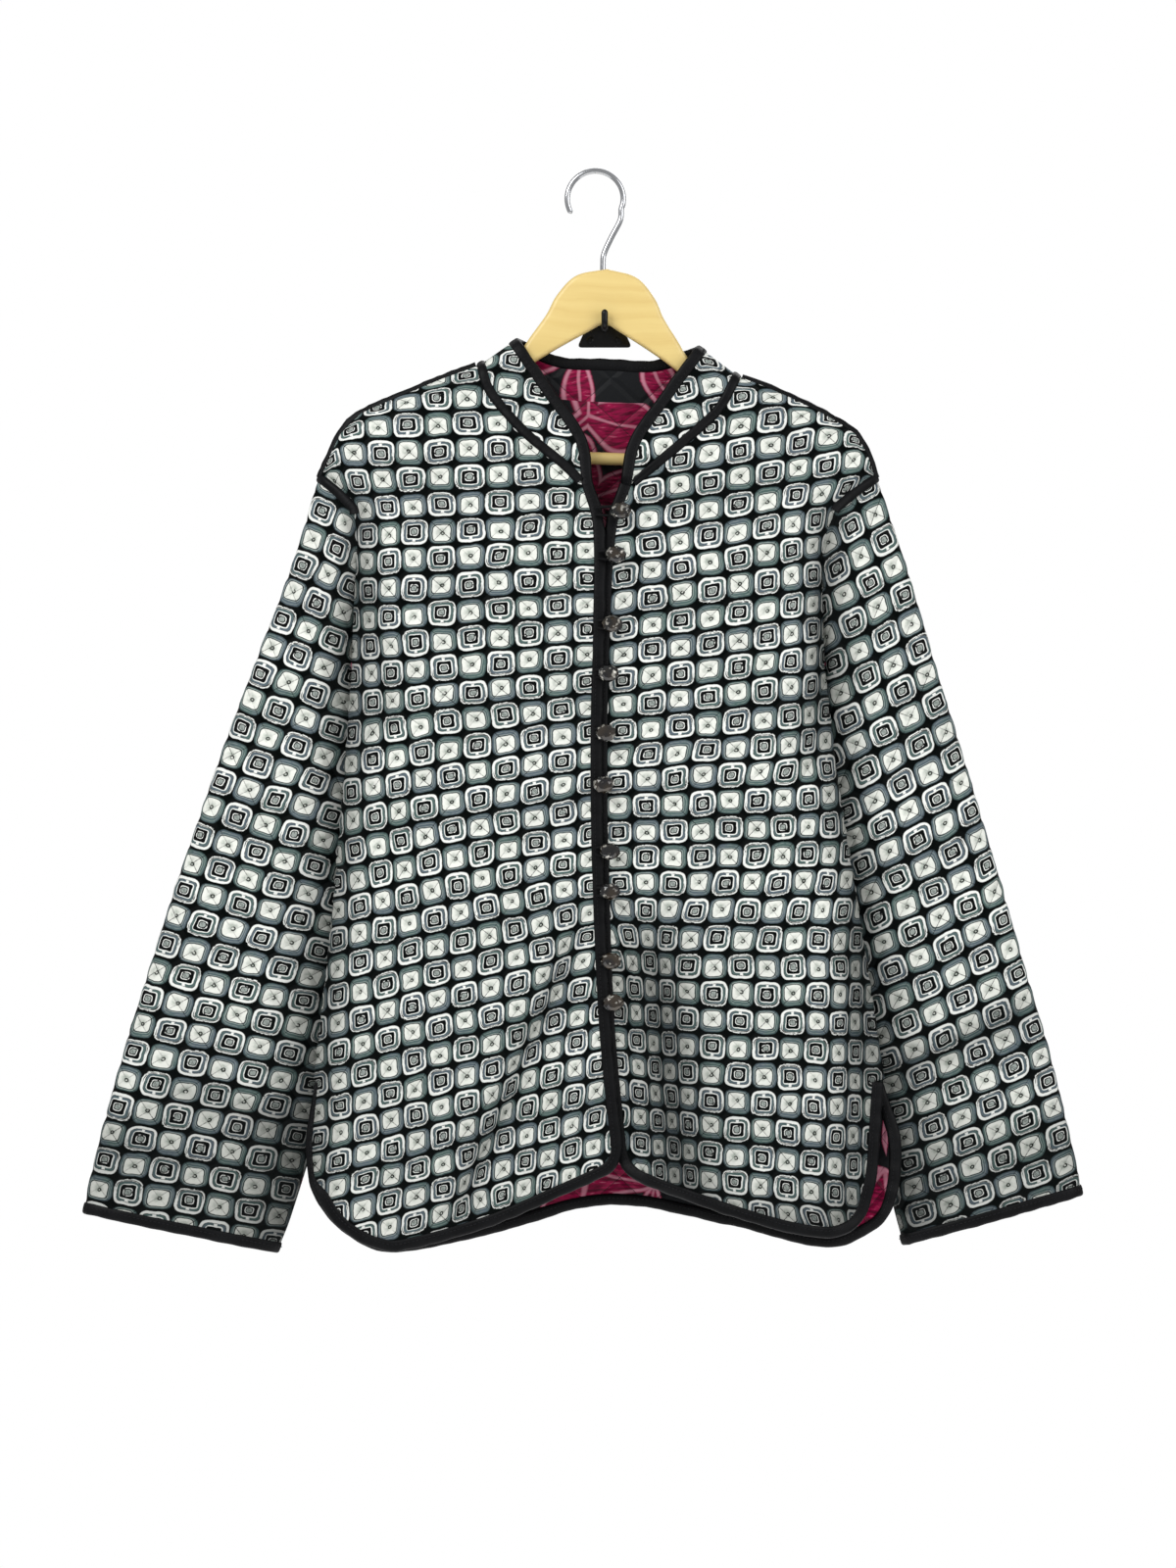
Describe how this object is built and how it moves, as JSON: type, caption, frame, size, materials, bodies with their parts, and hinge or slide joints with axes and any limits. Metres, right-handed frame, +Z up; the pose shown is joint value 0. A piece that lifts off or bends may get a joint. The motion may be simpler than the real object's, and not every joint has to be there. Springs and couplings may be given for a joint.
{
  "type": "reversible quilted jacket on a wooden coat hanger",
  "caption": "Reversible quilted satin jacket with a band collar, wide sleeves, black bindings, loops and buttons, hung on a wooden hanger with a wire hook from a wall hook.",
  "frame": {"origin": "on the back of the wall hook's plate, where it meets the wall, straight behind the hanger's notch", "axes": "+Z up, +Y into the wall, so the jacket's front faces -Y; +X towards the wearer's left side"},
  "size_m": [0.7995, 0.075, 0.8676],
  "materials": {
    "quilted_satin": "printed satin, quilted in diamonds",
    "black_binding": "satin binding and tape",
    "black_cord": "satin cord",
    "smoky_button": "faceted, polished",
    "pale_wood": "clear satin varnish",
    "chrome_wire": "polished plating",
    "black_iron": "satin black paint"
  },
  "bodies": {
    "root": {"front_right": "quilted_satin", "front_left": "quilted_satin", "back": "quilted_satin", "collar": "quilted_satin", "sleeve_right": "quilted_satin", "sleeve_left": "quilted_satin", "neck_binding": "black_binding", "front_binding_right": "black_binding", "front_binding_left": "black_binding", "back_binding": "black_binding", "cuff_binding_right": "black_binding", "cuff_binding_left": "black_binding", "collar_tape": "black_binding", "shoulder_tape_right": "black_binding", "shoulder_tape_left": "black_binding", "armhole_tape_right": "black_binding", "armhole_tape_left": "black_binding", "loop_1": "black_cord", "loop_2": "black_cord", "loop_3": "black_cord", "loop_4": "black_cord", "loop_5": "black_cord", "loop_6": "black_cord", "loop_7": "black_cord", "loop_8": "black_cord", "loop_9": "black_cord", "loop_10": "black_cord", "button_1": "smoky_button", "button_2": "smoky_button", "button_3": "smoky_button", "button_4": "smoky_button", "button_5": "smoky_button", "button_6": "smoky_button", "button_7": "smoky_button", "button_8": "smoky_button", "button_9": "smoky_button", "button_10": "smoky_button", "hanger_wood": "pale_wood", "hanger_bar": "pale_wood", "hanger_hook": "chrome_wire", "wall_hook": "black_iron"}
  },
  "joints": []
}
